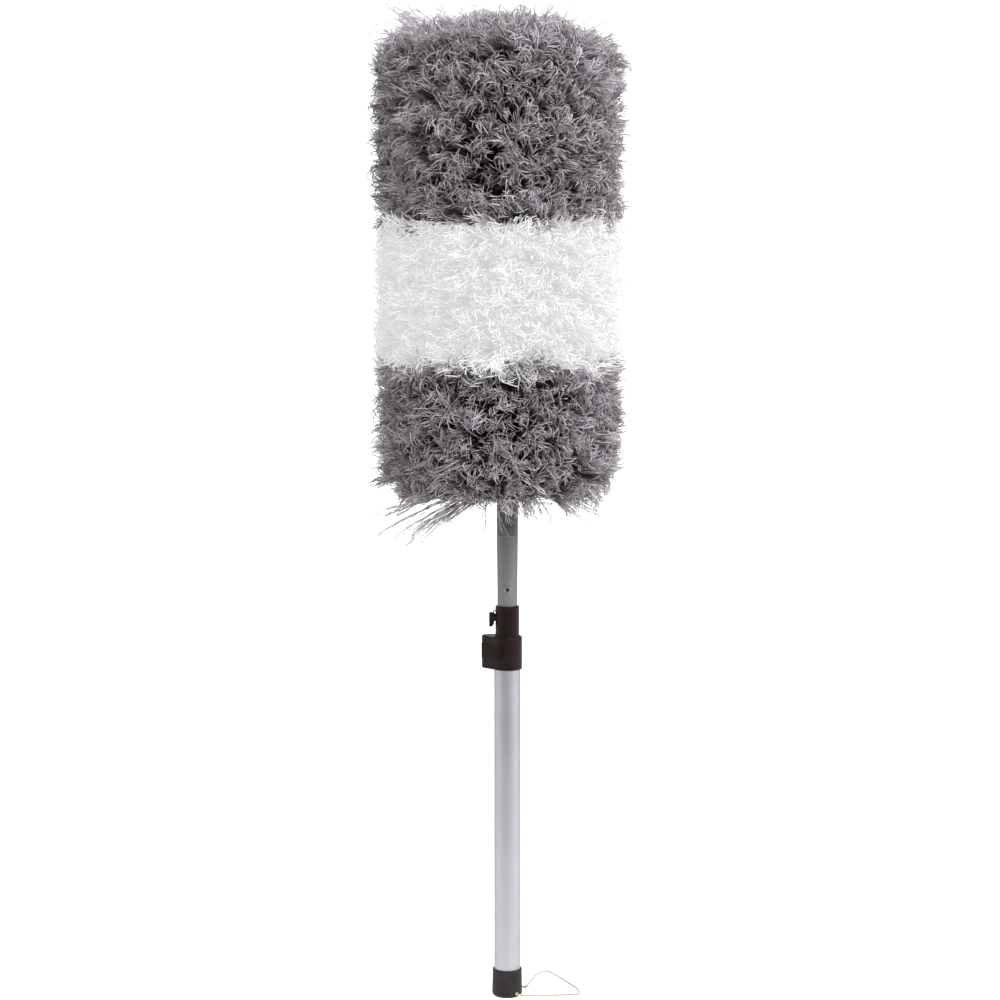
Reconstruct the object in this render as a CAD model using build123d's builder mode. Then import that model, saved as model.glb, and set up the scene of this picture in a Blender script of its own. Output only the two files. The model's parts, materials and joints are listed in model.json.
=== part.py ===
from build123d import *

import os
from math import acos, asin, cos, degrees, pi, radians, sin, sqrt

# Telescopic feather duster, collapsed. Millimetres, +Z up the pole.
# The origin is the centre of the end cap's bottom face. -Y is the front.

os.makedirs("parts", exist_ok=True)

# Tubes of the pole
GRIP_TUBE_R = 12.7
GRIP_TUBE_WALL = 1.5
GRIP_TUBE_TOP = 352.0
INNER_TUBE_R = 9.525
INNER_TUBE_WALL = 1.2
INNER_TUBE_BASE = 16.0
INNER_TUBE_TOP = 450.2
FLARE_START = 392.0
FLARE_R = 10.25
FACE_GAP = 0.05
SLIDE_GAP = 0.05

# End cap and its cord
CAP_HEIGHT = 27.0
CAP_RIM_R = 14.3
CAP_BASE_R = 14.7
CAP_FLOOR = 11.0
CAP_BASE_ROUND = 3.2
CAP_RIM_ROUND = 0.9
EYE_R = 1.5
EYE_HEIGHT = 4.6
EYE_OFFSET = 11.6
EYE_ANGLE = 14.0
CORD_R = 0.9
KNOT_R = 1.9

# Clamp collar, in its own frame: X along the lugs, Y towards the lever side
LUG_ANGLE = 155.4
COLLAR_R = 14.3
COLLAR_BORE_R = GRIP_TUBE_R + SLIDE_GAP
COLLAR_BASE = 321.3
COLLAR_TOP = 353.0
COLLAR_EDGE = 0.8
LUG_R = 7.1
LUG_REACH = 19.2
SPLIT_Y = -3.6
SPLIT_WIDTH = 1.2
LEVER_PIN_X = 21.7
LEVER_PIN_Y = 2.9
LEVER_PIN_R = 1.0
LEVER_BARREL_R = 4.0
LEVER_BASE = 330.3
LEVER_TOP = 346.0
LEVER_PROUD = 0.6
LEVER_THICKNESS = 3.2
LEVER_GAP = 0.15
LEVER_SEAT_R = 13.55
LEVER_END = 6.0
LEVER_OPEN = 90.0
FINGER_GAP = 2.4
EYE_BOLT_R = 1.2
BOLT_EYE_R = 2.3
BOLT_EYE_HEIGHT = 3.2
NUT_FACE_Y = -6.2
NUT_HEIGHT = 2.0
NUT_CORNER_R = 2.7
BOLT_TAIL = 0.8

# Guide sleeve between the tubes, and its catch
NECK_R = 11.45
NECK_TOP = 382.6
NECK_ROUND = 1.0
SLEEVE_BASE = 324.0
SLEEVE_BORE_R = INNER_TUBE_R + SLIDE_GAP + 0.03
SLEEVE_FLANGE_R = 12.6
SLEEVE_FLANGE_HEIGHT = 1.6
TAB_BASE = 362.6
TAB_TOP = 376.0
TAB_FACE_X = -17.5
TAB_BACK_X = -14.7
TAB_WIDTH = 7.0
TAB_PIVOT_X = -13.3
TAB_PIVOT_Z = TAB_BASE + 8.5
TAB_PIN_R = 0.7
TAB_STEM_X = -12.4
TAB_PAD_X = -12.9
EAR_INNER_Y = 2.4
EAR_THICKNESS = 1.2
EAR_SKIN = 0.3
CATCH_Y = -0.9
CATCH_Z = TAB_TOP + 1.8
CATCH_R = 0.8

# Head
SOCKET_BASE = 391.0
SOCKET_WALL = 2.2
RIVET_Z = 398.9
RIVET_HEAD_R = 3.6
RIVET_SHANK_R = 2.4
RIVET_HOLE_R = 1.7
CORE_BASE = 484.0
CORE_TOP = 868.0
CORE_R = 10.0
CORE_WALL = 1.6
HUB_R = 24.0
HUB_HEIGHT = 4.0
HUB_ROUND = 1.5
BACKING_R = 14.5
FRINGE_R = 117.0
FRINGE_SHIFT = -8.0
FRINGE_BORE_R = 15.0
FRINGE_BASE = 489.0
LOWER_SEAM = 617.0
UPPER_SEAM = 746.0
SHOULDER = 904.0
CROWN = 944.0
SEAM_GAP = 1.0


# The pole: two tubes, one sliding in the other

GRIP_BORE_R = GRIP_TUBE_R - GRIP_TUBE_WALL
TUBE_SLOT_WIDTH = 1.6
TUBE_SLOT_BASE = COLLAR_BASE + 3.7

lug_axis = (cos(radians(LUG_ANGLE)), sin(radians(LUG_ANGLE)), 0)


def lock_plane(height):
    """Horizontal plane of the clamp: X runs along its lugs."""
    return Plane(origin=(0, 0, height), x_dir=lug_axis, z_dir=(0, 0, 1))


with BuildPart() as outer_tube:
    with BuildSketch(Plane.XY.offset(CAP_FLOOR + FACE_GAP)):
        Circle(GRIP_TUBE_R)
        Circle(GRIP_BORE_R, mode=Mode.SUBTRACT)
    extrude(amount=GRIP_TUBE_TOP - CAP_FLOOR - FACE_GAP)
    with BuildSketch(lock_plane(TUBE_SLOT_BASE)):
        with Locations((GRIP_TUBE_R, SPLIT_Y)):
            Rectangle(GRIP_TUBE_R, TUBE_SLOT_WIDTH)
    extrude(amount=GRIP_TUBE_TOP - TUBE_SLOT_BASE, mode=Mode.SUBTRACT)
outer_tube.part.label = "outer_tube"
export_step(outer_tube.part, "parts/outer_tube.step")

with BuildPart() as inner_tube:
    with BuildSketch(Plane.XZ):
        with BuildLine():
            Polyline(
                (INNER_TUBE_R - INNER_TUBE_WALL, INNER_TUBE_BASE),
                (INNER_TUBE_R, INNER_TUBE_BASE),
                (INNER_TUBE_R, FLARE_START),
                (FLARE_R, INNER_TUBE_TOP),
                (FLARE_R - INNER_TUBE_WALL, INNER_TUBE_TOP),
                (INNER_TUBE_R - INNER_TUBE_WALL, FLARE_START),
                close=True,
            )
        make_face()
    revolve(axis=Axis.Z)
    with BuildSketch(Plane.XZ):
        with Locations((0, RIVET_Z)):
            Circle(RIVET_SHANK_R)
    extrude(amount=FLARE_R + INNER_TUBE_WALL, mode=Mode.SUBTRACT)
inner_tube.part.label = "inner_tube"
export_step(inner_tube.part, "parts/inner_tube.step")

BUSH_BASE = 12.0
BUSH_TOP = 36.0
BUSH_BREATHER_R = 4.0
BUSH_FLUTE_R = 1.0
BUSH_FLUTES = 3
with BuildPart() as guide_bush:
    with BuildSketch(Plane.XY.offset(BUSH_BASE)):
        Circle(GRIP_BORE_R - SLIDE_GAP)
        Circle(BUSH_BREATHER_R, mode=Mode.SUBTRACT)
        with PolarLocations(GRIP_BORE_R, BUSH_FLUTES):
            Circle(BUSH_FLUTE_R, mode=Mode.SUBTRACT)
    extrude(amount=BUSH_TOP - BUSH_BASE)
    with BuildSketch(Plane.XY.offset(INNER_TUBE_BASE)):
        Circle(INNER_TUBE_R)
    extrude(amount=BUSH_TOP - INNER_TUBE_BASE, mode=Mode.SUBTRACT)
guide_bush.part.label = "guide_bush"
export_step(guide_bush.part, "parts/guide_bush.step")


# End cap with a cross hole for the cord

eye_axis = (sin(radians(EYE_ANGLE)), cos(radians(EYE_ANGLE)), 0)
eye_foot = (
    EYE_OFFSET * cos(radians(EYE_ANGLE)),
    -EYE_OFFSET * sin(radians(EYE_ANGLE)),
    EYE_HEIGHT,
)

with BuildPart() as end_cap:
    with BuildSketch(Plane.XZ):
        with BuildLine():
            Polyline(
                (0, 0),
                (CAP_BASE_R, 0),
                (CAP_RIM_R, CAP_HEIGHT),
                (GRIP_TUBE_R, CAP_HEIGHT),
                (GRIP_TUBE_R, CAP_FLOOR),
                (0, CAP_FLOOR),
                close=True,
            )
        make_face()
    revolve(axis=Axis.Z)
    rims = end_cap.edges().filter_by(GeomType.CIRCLE)
    fillet(rims.group_by(Axis.Z)[0], CAP_BASE_ROUND)
    top_rims = end_cap.edges().filter_by(GeomType.CIRCLE).group_by(Axis.Z)[-1]
    fillet(top_rims.sort_by(SortBy.RADIUS)[-1], CAP_RIM_ROUND)
    with BuildSketch(Plane(origin=eye_foot, z_dir=eye_axis)):
        Circle(EYE_R)
    extrude(amount=CAP_BASE_R, both=True, mode=Mode.SUBTRACT)
end_cap.part.label = "end_cap"
export_step(end_cap.part, "parts/end_cap.step")


def along_eye(distance):
    """Point on the cross hole's axis, measured from its middle."""
    return tuple(eye_foot[i] + distance * eye_axis[i] for i in range(3))


EYE_RUN_OUT = 3.4
KNOT = (17.8, 9.6, 4.6)
KNOT_INSET = 1.0
eye_reach = sqrt(CAP_BASE_R**2 - EYE_OFFSET**2) + EYE_RUN_OUT
# Each bend of the loop: its corner point and its radius
cord_bends = [
    (along_eye(eye_reach), 2.2),
    (along_eye(-eye_reach), 2.2),
    ((20.0, -15.0, 3.6), 6),
    ((42.0, -9.5, 2.2), 30),
    ((71.0, -3.0, 1.4), 4),
    ((69.0, 14.0, 1.4), 10),
    ((53.5, 47.0, 1.8), 30),
    ((40.0, 72.0, 2.4), 8),
    ((29.0, 54.0, 3.2), 14),
    ((20.0, 15.0, 4.6), 3),
]

with BuildPart() as hang_cord:
    with BuildLine() as cord_path:
        cord = FilletPolyline(
            (KNOT[0] - KNOT_INSET, KNOT[1], KNOT[2]),
            *[corner for corner, bend_r in cord_bends],
            (KNOT[0] + KNOT_INSET / 2, KNOT[1] + KNOT_INSET, KNOT[2]),
            radius=[bend_r for corner, bend_r in cord_bends],
        )
    with BuildSketch(Plane(origin=cord @ 0, z_dir=cord % 0)):
        Circle(CORD_R)
    sweep(path=cord)
    with Locations(KNOT):
        Sphere(KNOT_R)
hang_cord.part.label = "hang_cord"
export_step(hang_cord.part, "parts/hang_cord.step")


# Clamp collar on the top end of the outer tube

tangent_angle = acos((COLLAR_R - LUG_R) / LUG_REACH)
face_normal = (cos(tangent_angle), sin(tangent_angle))
face_run = (-face_normal[1], face_normal[0])


def on_face(run, out):
    """Point given along the lever side and outwards from the pole's axis."""
    return (
        run * face_run[0] + out * face_normal[0],
        run * face_run[1] + out * face_normal[1],
    )


def teardrop(grow):
    """Outline of the collar: a ring drawn out to the round end of its lugs."""
    ring, end = COLLAR_R + grow, LUG_R + grow
    Circle(ring)
    with Locations((LUG_REACH, 0)):
        Circle(end)
    Polygon(
        (ring * face_normal[0], ring * face_normal[1]),
        (LUG_REACH + end * face_normal[0], end * face_normal[1]),
        (LUG_REACH + end * face_normal[0], -end * face_normal[1]),
        (ring * face_normal[0], -ring * face_normal[1]),
        align=None,
    )


def face_band(run_from, run_to, out_from, out_to, mode=Mode.ADD):
    """Rectangle along the lever side of the collar."""
    Polygon(
        on_face(run_from, out_from),
        on_face(run_to, out_from),
        on_face(run_to, out_to),
        on_face(run_from, out_to),
        align=None,
        mode=mode,
    )


BAND_FAR = 40.0
lever_floor = COLLAR_R + LEVER_PROUD - LEVER_THICKNESS
pin_run = LEVER_PIN_X * face_run[0] + LEVER_PIN_Y * face_run[1]
bolt_height = (LEVER_BASE + LEVER_TOP) / 2
bolt_plane = Plane(
    origin=lock_plane(bolt_height).from_local_coords(
        Vector(LEVER_PIN_X, LEVER_PIN_Y, 0)
    ),
    x_dir=lug_axis,
    z_dir=(sin(radians(LUG_ANGLE)), -cos(radians(LUG_ANGLE)), 0),
)

with BuildPart() as lock_collar:
    with BuildSketch(lock_plane(COLLAR_BASE)):
        teardrop(0)
    extrude(amount=COLLAR_TOP - COLLAR_BASE)
    collar_edges = lock_collar.edges().group_by(Axis.Z)
    fillet(collar_edges[0] + collar_edges[-1], COLLAR_EDGE)
    with BuildSketch(lock_plane(COLLAR_BASE)):
        Circle(COLLAR_BORE_R)
        with Locations((LUG_REACH, SPLIT_Y)):
            Rectangle(2 * LUG_R + 2, SPLIT_WIDTH)
    extrude(amount=COLLAR_TOP - COLLAR_BASE, mode=Mode.SUBTRACT)
    with BuildSketch(lock_plane(LEVER_BASE - LEVER_GAP)):
        face_band(-BAND_FAR, LEVER_END + FINGER_GAP, lever_floor - LEVER_GAP, BAND_FAR)
        Circle(LEVER_SEAT_R, mode=Mode.SUBTRACT)
        with Locations((LEVER_PIN_X, LEVER_PIN_Y)):
            Circle(LEVER_BARREL_R + LEVER_GAP)
    extrude(amount=LEVER_TOP - LEVER_BASE + 2 * LEVER_GAP, mode=Mode.SUBTRACT)
    with BuildSketch(bolt_plane):
        Circle(EYE_BOLT_R + LEVER_GAP)
    extrude(amount=BAND_FAR, mode=Mode.SUBTRACT)
    with BuildSketch(bolt_plane.offset(LEVER_PIN_Y - NUT_FACE_Y)):
        Circle(NUT_CORNER_R + 1)
    extrude(amount=LUG_R, mode=Mode.SUBTRACT)
lock_collar.part.label = "lock_collar"
export_step(lock_collar.part, "parts/lock_collar.step")

with BuildPart() as clamp_bolt:
    with BuildSketch(lock_plane(bolt_height - BOLT_EYE_HEIGHT / 2)):
        with Locations((LEVER_PIN_X, LEVER_PIN_Y)):
            Circle(BOLT_EYE_R)
    extrude(amount=BOLT_EYE_HEIGHT)
    with BuildSketch(bolt_plane):
        Circle(EYE_BOLT_R)
    extrude(amount=LEVER_PIN_Y - NUT_FACE_Y + NUT_HEIGHT + BOLT_TAIL)
    with BuildSketch(lock_plane(bolt_height - BOLT_EYE_HEIGHT)):
        with Locations((LEVER_PIN_X, LEVER_PIN_Y)):
            Circle(LEVER_PIN_R + SLIDE_GAP)
    extrude(amount=2 * BOLT_EYE_HEIGHT, mode=Mode.SUBTRACT)
clamp_bolt.part.label = "clamp_bolt"
export_step(clamp_bolt.part, "parts/clamp_bolt.step")

with BuildPart() as clamp_nut:
    with BuildSketch(bolt_plane.offset(LEVER_PIN_Y - NUT_FACE_Y + FACE_GAP)):
        RegularPolygon(NUT_CORNER_R, 6)
        Circle(EYE_BOLT_R, mode=Mode.SUBTRACT)
    extrude(amount=NUT_HEIGHT)
clamp_nut.part.label = "clamp_nut"
export_step(clamp_nut.part, "parts/clamp_nut.step")

PIN_INSET = 0.6
EYE_CLEARANCE = 0.25
with BuildPart() as lever_pivot_pin:
    with BuildSketch(lock_plane(LEVER_BASE + PIN_INSET)):
        with Locations((LEVER_PIN_X, LEVER_PIN_Y)):
            Circle(LEVER_PIN_R)
    extrude(amount=LEVER_TOP - LEVER_BASE - 2 * PIN_INSET)
lever_pivot_pin.part.label = "lever_pivot_pin"
export_step(lever_pivot_pin.part, "parts/lever_pivot_pin.step")

EYE_SLOT_HEIGHT = BOLT_EYE_HEIGHT + 2 * EYE_CLEARANCE
EYE_SLOT_R = BOLT_EYE_R + EYE_CLEARANCE
LEVER_EDGE = 0.5
slot_half_angle = degrees(asin((EYE_BOLT_R + LEVER_GAP) / EYE_SLOT_R))
slot_from = -90 - slot_half_angle
slot_to = -90 + LEVER_OPEN + slot_half_angle

with BuildPart() as lock_lever:
    with BuildSketch(lock_plane(LEVER_BASE)):
        teardrop(LEVER_PROUD)
        face_band(pin_run, LEVER_END, lever_floor, BAND_FAR, mode=Mode.INTERSECT)
        Circle(LEVER_SEAT_R + LEVER_GAP, mode=Mode.SUBTRACT)
        with Locations((LEVER_PIN_X, LEVER_PIN_Y)):
            Circle(LEVER_BARREL_R)
    extrude(amount=LEVER_TOP - LEVER_BASE)
    lever_edges = lock_lever.edges().group_by(Axis.Z)
    chamfer(lever_edges[0] + lever_edges[-1], LEVER_EDGE)
    with BuildSketch(lock_plane(LEVER_BASE)):
        with Locations((LEVER_PIN_X, LEVER_PIN_Y)):
            Circle(LEVER_PIN_R)
    extrude(amount=LEVER_TOP - LEVER_BASE, mode=Mode.SUBTRACT)
    with BuildSketch(lock_plane(bolt_height - EYE_SLOT_HEIGHT / 2)):
        with BuildLine():
            swing = CenterArc(
                (LEVER_PIN_X, LEVER_PIN_Y),
                2 * LEVER_BARREL_R,
                slot_from,
                slot_to - slot_from,
            )
            Line((LEVER_PIN_X, LEVER_PIN_Y), swing @ 0)
            Line((LEVER_PIN_X, LEVER_PIN_Y), swing @ 1)
        make_face()
        with Locations((LEVER_PIN_X, LEVER_PIN_Y)):
            Circle(EYE_SLOT_R)
    extrude(amount=EYE_SLOT_HEIGHT, mode=Mode.SUBTRACT)
lock_lever.part.label = "lock_lever"
export_step(lock_lever.part, "parts/lock_lever.step")


# Guide sleeve: a spigot inside the outer tube and a neck around the inner one

SPIGOT_SLITS = 4
SPIGOT_SLIT_ANGLE = 45.0
SPIGOT_SLIT_WIDTH = 1.5
SPIGOT_SLIT_TOP = SLEEVE_BASE + 20.0
CATCH_SLOT_HEIGHT = 4.0
CATCH_SLOT_WIDTH = 2.4
CATCH_SLOT_RISE = 0.3
EAR_BASE = TAB_PIVOT_Z - 3.1
EAR_TOP = TAB_PIVOT_Z + 3.3
EAR_TIP_X = -14.2
pin_half = EAR_INNER_Y + EAR_THICKNESS - EAR_SKIN
ear_planes = [
    Plane.XZ.offset(EAR_INNER_Y),
    Plane.XZ.offset(-EAR_INNER_Y - EAR_THICKNESS),
]

with BuildPart() as guide_sleeve:
    with BuildSketch(Plane.XZ):
        with BuildLine():
            Polyline(
                (0, SLEEVE_BASE),
                (GRIP_BORE_R - SLIDE_GAP, SLEEVE_BASE),
                (GRIP_BORE_R - SLIDE_GAP, GRIP_TUBE_TOP + FACE_GAP),
                (SLEEVE_FLANGE_R, GRIP_TUBE_TOP + FACE_GAP),
                (SLEEVE_FLANGE_R, GRIP_TUBE_TOP + SLEEVE_FLANGE_HEIGHT),
                (NECK_R, GRIP_TUBE_TOP + SLEEVE_FLANGE_HEIGHT),
                (NECK_R, NECK_TOP),
                (0, NECK_TOP),
                close=True,
            )
        make_face()
    revolve(axis=Axis.Z)
    fillet(guide_sleeve.edges().sort_by(Axis.Z)[-1], NECK_ROUND)
    for ear_plane in ear_planes:
        with BuildSketch(ear_plane):
            with Locations(((EAR_TIP_X - SLEEVE_BORE_R) / 2, (EAR_BASE + EAR_TOP) / 2)):
                Rectangle(-EAR_TIP_X - SLEEVE_BORE_R, EAR_TOP - EAR_BASE)
        extrude(amount=EAR_THICKNESS)
    with BuildSketch(Plane.XY.offset(SLEEVE_BASE)):
        Circle(SLEEVE_BORE_R)
    extrude(amount=NECK_TOP - SLEEVE_BASE, mode=Mode.SUBTRACT)
    with BuildSketch(Plane.XY.offset(SLEEVE_BASE)):
        with PolarLocations(GRIP_BORE_R, SPIGOT_SLITS, start_angle=SPIGOT_SLIT_ANGLE):
            Rectangle(GRIP_BORE_R, SPIGOT_SLIT_WIDTH)
    extrude(amount=SPIGOT_SLIT_TOP - SLEEVE_BASE, mode=Mode.SUBTRACT)
    with BuildSketch(Plane.XZ):
        with Locations((TAB_PIVOT_X, TAB_PIVOT_Z)):
            Circle(TAB_PIN_R)
    extrude(amount=pin_half + FACE_GAP, both=True, mode=Mode.SUBTRACT)
    with BuildSketch(Plane.YZ):
        with Locations((CATCH_Y, CATCH_Z + CATCH_SLOT_RISE)):
            SlotOverall(CATCH_SLOT_HEIGHT, CATCH_SLOT_WIDTH, rotation=90)
    extrude(amount=-2 * NECK_R, mode=Mode.SUBTRACT)
guide_sleeve.part.label = "guide_sleeve"
export_step(guide_sleeve.part, "parts/guide_sleeve.step")

STEM_HALF_FRONT = 2.2
STEM_HALF_BACK = 0.4
STEM_FOOT = 0.4
STEM_SLOPE = 4.0
CATCH_HOLE_DEPTH = 2.9
TAB_ROUND = 0.6
TAB_BEVEL = 2.2
EAR_CLEARANCE = 0.5
with BuildPart() as release_tab:
    with BuildSketch(Plane.XZ.offset(-TAB_WIDTH / 2)):
        with BuildLine():
            Polyline(
                (TAB_FACE_X, TAB_BASE),
                (TAB_BACK_X, TAB_BASE),
                (TAB_PAD_X, TAB_BASE + TAB_BEVEL),
                (TAB_PAD_X, EAR_BASE - EAR_CLEARANCE),
                (TAB_BACK_X, EAR_BASE - EAR_CLEARANCE),
                (TAB_BACK_X, TAB_TOP),
                (TAB_FACE_X, TAB_TOP),
                close=True,
            )
        make_face()
    extrude(amount=TAB_WIDTH)
    fillet(release_tab.edges().filter_by(Axis.Y).sort_by(Axis.X)[:2], TAB_ROUND)
    with BuildSketch(Plane.XZ.offset(-STEM_HALF_BACK)):
        with BuildLine():
            Polyline(
                (TAB_BACK_X, TAB_BASE + STEM_FOOT),
                (TAB_STEM_X, TAB_BASE + STEM_SLOPE),
                (TAB_STEM_X, TAB_TOP),
                (TAB_BACK_X, TAB_TOP),
                close=True,
            )
        make_face()
    extrude(amount=STEM_HALF_BACK + STEM_HALF_FRONT)
    with BuildSketch(Plane.XZ):
        with Locations((TAB_PIVOT_X, TAB_PIVOT_Z)):
            Circle(TAB_PIN_R + SLIDE_GAP)
    extrude(amount=TAB_WIDTH, both=True, mode=Mode.SUBTRACT)
    with BuildSketch(Plane.XY.offset(TAB_TOP - CATCH_HOLE_DEPTH)):
        with Locations((TAB_PIVOT_X, CATCH_Y)):
            Circle(CATCH_R)
    extrude(amount=CATCH_HOLE_DEPTH, mode=Mode.SUBTRACT)
release_tab.part.label = "release_tab"
export_step(release_tab.part, "parts/release_tab.step")

with BuildPart() as tab_pivot_pin:
    with BuildSketch(Plane.XZ):
        with Locations((TAB_PIVOT_X, TAB_PIVOT_Z)):
            Circle(TAB_PIN_R)
    extrude(amount=pin_half, both=True)
tab_pivot_pin.part.label = "tab_pivot_pin"
export_step(tab_pivot_pin.part, "parts/tab_pivot_pin.step")

CATCH_TIP_X = -INNER_TUBE_R - 0.2
CATCH_BEND_R = 1.2
with BuildPart() as catch_wire:
    with BuildLine() as catch_path:
        FilletPolyline(
            (TAB_PIVOT_X, CATCH_Y, TAB_TOP - CATCH_HOLE_DEPTH),
            (TAB_PIVOT_X, CATCH_Y, CATCH_Z),
            (CATCH_TIP_X, CATCH_Y, CATCH_Z),
            radius=CATCH_BEND_R,
        )
    with BuildSketch(Plane(origin=catch_path.line @ 0, z_dir=catch_path.line % 0)):
        Circle(CATCH_R)
    sweep(path=catch_path.line)
catch_wire.part.label = "catch_wire"
export_step(catch_wire.part, "parts/catch_wire.step")

SPRING_WIRE_R = 0.2
SPRING_COIL_R = 1.1
SPRING_PITCH = 0.42
SPRING_TURNS = 2.5
SPRING_START_Y = 0.9
SPRING_LEG = 2.6
COIL_STEPS = 20
coil_angles = [2 * pi * SPRING_TURNS * step / COIL_STEPS for step in range(COIL_STEPS + 1)]
with BuildPart() as tab_spring:
    with BuildLine() as coil_path:
        Spline(
            *[
                (
                    TAB_PIVOT_X + SPRING_COIL_R * cos(angle),
                    SPRING_START_Y + SPRING_PITCH * angle / (2 * pi),
                    TAB_PIVOT_Z - SPRING_COIL_R * sin(angle),
                )
                for angle in coil_angles
            ]
        )
    coil = coil_path.line
    with BuildSketch(Plane(origin=coil @ 0, z_dir=coil % 0)):
        Circle(SPRING_WIRE_R)
    sweep(path=coil, is_frenet=True)
    for leg_root, leg_way in ((coil @ 0, -(coil % 0)), (coil @ 1, coil % 1)):
        with BuildSketch(Plane(origin=leg_root, z_dir=leg_way)):
            Circle(SPRING_WIRE_R)
        extrude(amount=SPRING_LEG)
tab_spring.part.label = "tab_spring"
export_step(tab_spring.part, "parts/tab_spring.step")


# Head: socket riveted into the inner tube, core, backing sleeves and fringe

SOCKET_TOP = CORE_BASE + 27.0
flare_slope = (FLARE_R - INNER_TUBE_R) / (INNER_TUBE_TOP - FLARE_START)
plug_top_r = FLARE_R - INNER_TUBE_WALL
plug_base_r = INNER_TUBE_R - INNER_TUBE_WALL
rivet_top = RIVET_Z + RIVET_HEAD_R
rivet_seat = INNER_TUBE_R + flare_slope * (rivet_top - FLARE_START) + FACE_GAP
core_bore_r = CORE_R - CORE_WALL

with BuildPart() as head_socket:
    with BuildSketch(Plane.XZ):
        with BuildLine():
            Polyline(
                (plug_base_r - SOCKET_WALL, SOCKET_BASE),
                (plug_base_r, SOCKET_BASE),
                (plug_base_r, FLARE_START),
                (plug_top_r, INNER_TUBE_TOP + FACE_GAP),
                (FLARE_R, INNER_TUBE_TOP + FACE_GAP),
                (FLARE_R, CORE_BASE),
                (core_bore_r, CORE_BASE),
                (core_bore_r, SOCKET_TOP),
                (plug_base_r - SOCKET_WALL, SOCKET_TOP),
                close=True,
            )
        make_face()
    revolve(axis=Axis.Z)
    with BuildSketch(Plane.XZ):
        with Locations((0, RIVET_Z)):
            Circle(RIVET_SHANK_R)
    extrude(amount=FLARE_R, mode=Mode.SUBTRACT)
head_socket.part.label = "head_socket"
export_step(head_socket.part, "parts/head_socket.step")

RIVET_HEAD_HEIGHT = 0.9
RIVET_TAIL_R = 3.0
RIVET_TAIL = 2.0
RIVET_EDGE = 0.5
socket_bore_r = plug_base_r - SOCKET_WALL
rivet_tail_face = sqrt(socket_bore_r**2 - RIVET_TAIL_R**2) - FACE_GAP
with BuildPart() as socket_rivet:
    with BuildSketch(Plane.XZ.offset(rivet_seat)):
        with Locations((0, RIVET_Z)):
            Circle(RIVET_HEAD_R)
    extrude(amount=RIVET_HEAD_HEIGHT)
    fillet(socket_rivet.edges().filter_by(GeomType.CIRCLE).sort_by(Axis.Y)[0], RIVET_EDGE)
    with BuildSketch(Plane.XZ.offset(rivet_tail_face)):
        with Locations((0, RIVET_Z)):
            Circle(RIVET_SHANK_R)
    extrude(amount=rivet_seat - rivet_tail_face)
    with BuildSketch(Plane.XZ.offset(rivet_tail_face - RIVET_TAIL)):
        with Locations((0, RIVET_Z)):
            Circle(RIVET_TAIL_R)
    extrude(amount=RIVET_TAIL)
    with BuildSketch(Plane.XZ.offset(rivet_tail_face)):
        with Locations((0, RIVET_Z)):
            Circle(RIVET_HOLE_R)
    extrude(amount=FLARE_R, mode=Mode.SUBTRACT)
socket_rivet.part.label = "socket_rivet"
export_step(socket_rivet.part, "parts/socket_rivet.step")

with BuildPart() as core_tube:
    with BuildSketch(Plane.XY.offset(CORE_BASE)):
        Circle(CORE_R)
        Circle(core_bore_r, mode=Mode.SUBTRACT)
    extrude(amount=CORE_TOP - CORE_BASE)
core_tube.part.label = "core_tube"
export_step(core_tube.part, "parts/core_tube.step")

with BuildPart() as lower_hub:
    with BuildSketch(Plane.XY.offset(CORE_BASE + FACE_GAP)):
        Circle(HUB_R)
        Circle(CORE_R, mode=Mode.SUBTRACT)
    extrude(amount=HUB_HEIGHT)
    fillet(lower_hub.edges().group_by(Axis.Z)[0].sort_by(SortBy.RADIUS)[-1], HUB_ROUND)
lower_hub.part.label = "lower_hub"
export_step(lower_hub.part, "parts/lower_hub.step")

SCREW_R = 2.0
SCREW_HEAD_R = 4.0
SCREW_HEAD_HEIGHT = 2.6
SCREW_HEAD_ROUND = 1.2
SCREW_CLEARANCE = 0.2
SCREW_LENGTH = 18.0
WASHER_R = 5.5
WASHER_HEIGHT = 1.0
PLUG_DEPTH = 22.0
CAP_PLATE_R = 22.0
CAP_PLATE_HEIGHT = 4.0
CAP_PLATE_ROUND = 2.0
plate_top = CORE_TOP + FACE_GAP + CAP_PLATE_HEIGHT
washer_top = plate_top + FACE_GAP + WASHER_HEIGHT

with BuildPart() as core_plug:
    with BuildSketch(Plane.XY.offset(CORE_TOP - PLUG_DEPTH)):
        Circle(core_bore_r)
        Circle(SCREW_R, mode=Mode.SUBTRACT)
    extrude(amount=PLUG_DEPTH)
core_plug.part.label = "core_plug"
export_step(core_plug.part, "parts/core_plug.step")

with BuildPart() as top_plate:
    with BuildSketch(Plane.XY.offset(CORE_TOP + FACE_GAP)):
        Circle(CAP_PLATE_R)
        Circle(SCREW_R + SCREW_CLEARANCE, mode=Mode.SUBTRACT)
    extrude(amount=CAP_PLATE_HEIGHT)
    fillet(top_plate.edges().group_by(Axis.Z)[-1].sort_by(SortBy.RADIUS)[-1], CAP_PLATE_ROUND)
top_plate.part.label = "top_plate"
export_step(top_plate.part, "parts/top_plate.step")

with BuildPart() as end_washer:
    with BuildSketch(Plane.XY.offset(plate_top + FACE_GAP)):
        Circle(WASHER_R)
        Circle(SCREW_R + SCREW_CLEARANCE, mode=Mode.SUBTRACT)
    extrude(amount=WASHER_HEIGHT)
end_washer.part.label = "end_washer"
export_step(end_washer.part, "parts/end_washer.step")

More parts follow.
